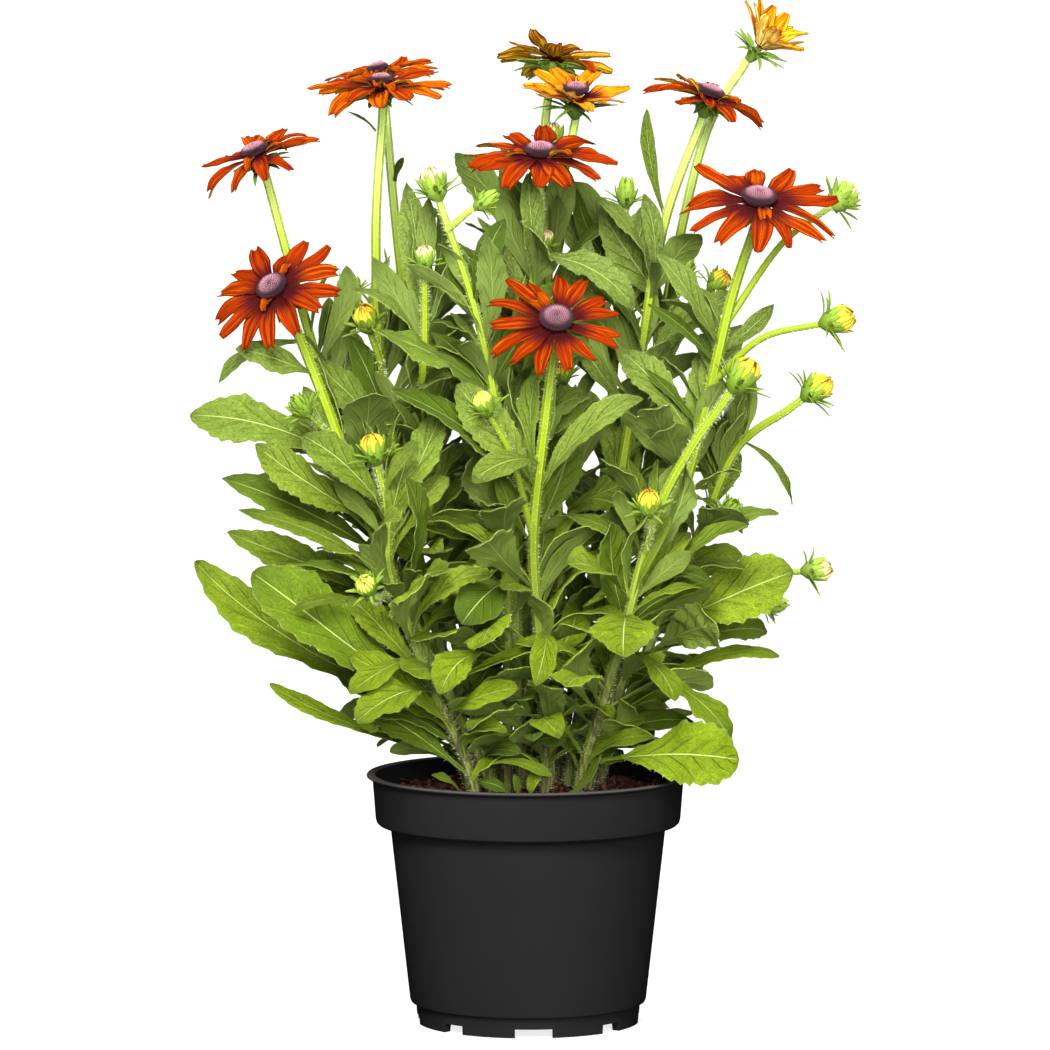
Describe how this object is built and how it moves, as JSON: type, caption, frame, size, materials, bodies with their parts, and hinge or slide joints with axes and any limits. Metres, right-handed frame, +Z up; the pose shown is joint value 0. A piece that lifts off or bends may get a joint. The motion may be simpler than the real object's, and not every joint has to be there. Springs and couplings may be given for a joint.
{
  "type": "potted coneflower",
  "caption": "Leafy clump of an orange brown coneflower in bloom and bud, in a plain black nursery pot of peat.",
  "frame": {"origin": "on the pot's axis, at the surface that the pot stands on, under the middle of the plant's box", "axes": "+Z up along the pot's axis, +X to the right of the plant's front, front towards -Y"},
  "size_m": [0.3962, 0.3, 0.5993],
  "materials": {
    "pot_plastic": "black moulded plant pot, satin",
    "peat": "dark brown peat compost with reddish fibres, crumbly and matt",
    "foliage": "living leaf and stem, mid to yellow green, softly hairy",
    "ray_orange": "petal, orange red with a maroon base and yellow streaks",
    "ray_amber": "petal, golden yellow flushed with orange at the base",
    "disc_purple": "packed florets, mauve purple with a darker ring",
    "bud_yellow": "furled petals, bright yellow with dark streaks",
    "bud_cream": "furled petals, cream with brown streaks",
    "bud_lime": "furled petals, green yellow"
  },
  "bodies": {
    "root": {"pot": "pot_plastic", "soil": "peat", "stem_01": "foliage", "stem_02": "foliage", "stem_03": "foliage", "stem_04": "foliage", "stem_05": "foliage", "stem_06": "foliage", "stem_07": "foliage", "stem_08": "foliage", "stem_09": "foliage", "stem_10": "foliage", "stem_11": "foliage", "stem_12": "foliage", "stem_13": "foliage", "stem_14": "foliage", "stem_15": "foliage", "stem_16": "foliage", "stem_17": "foliage", "bloom_01_rays": "ray_orange", "bloom_02_rays": "ray_orange", "bloom_03_rays": "ray_orange", "bloom_04_rays": "ray_orange", "bloom_05_rays": "ray_orange", "bloom_06_rays": "ray_amber", "bloom_07_rays": "ray_orange", "bloom_08_rays": "ray_orange", "bloom_09_rays": "ray_orange", "bloom_10_rays": "ray_orange", "bloom_11_rays": "ray_amber", "bloom_01_disc": "disc_purple", "bloom_02_disc": "disc_purple", "bloom_03_disc": "disc_purple", "bloom_04_disc": "disc_purple", "bloom_05_disc": "disc_purple", "bloom_06_disc": "disc_purple", "bloom_07_disc": "disc_purple", "bloom_08_disc": "disc_purple", "bloom_09_disc": "disc_purple", "bloom_10_disc": "disc_purple", "bloom_11_disc": "disc_purple", "bud_01_rays": "bud_lime", "bud_02_rays": "bud_yellow", "bud_03_rays": "bud_cream", "bud_04_rays": "bud_cream", "bud_05_rays": "bud_yellow", "bud_09_rays": "bud_yellow", "bud_10_rays": "bud_cream", "bud_11_rays": "bud_yellow", "bud_12_rays": "bud_yellow", "bud_13_rays": "bud_yellow", "bud_14_rays": "bud_yellow", "bud_15_rays": "bud_lime", "bud_16_rays": "bud_yellow", "bud_17_rays": "bud_cream", "bud_21_rays": "bud_cream", "bud_24_rays": "bud_cream"}
  },
  "joints": []
}
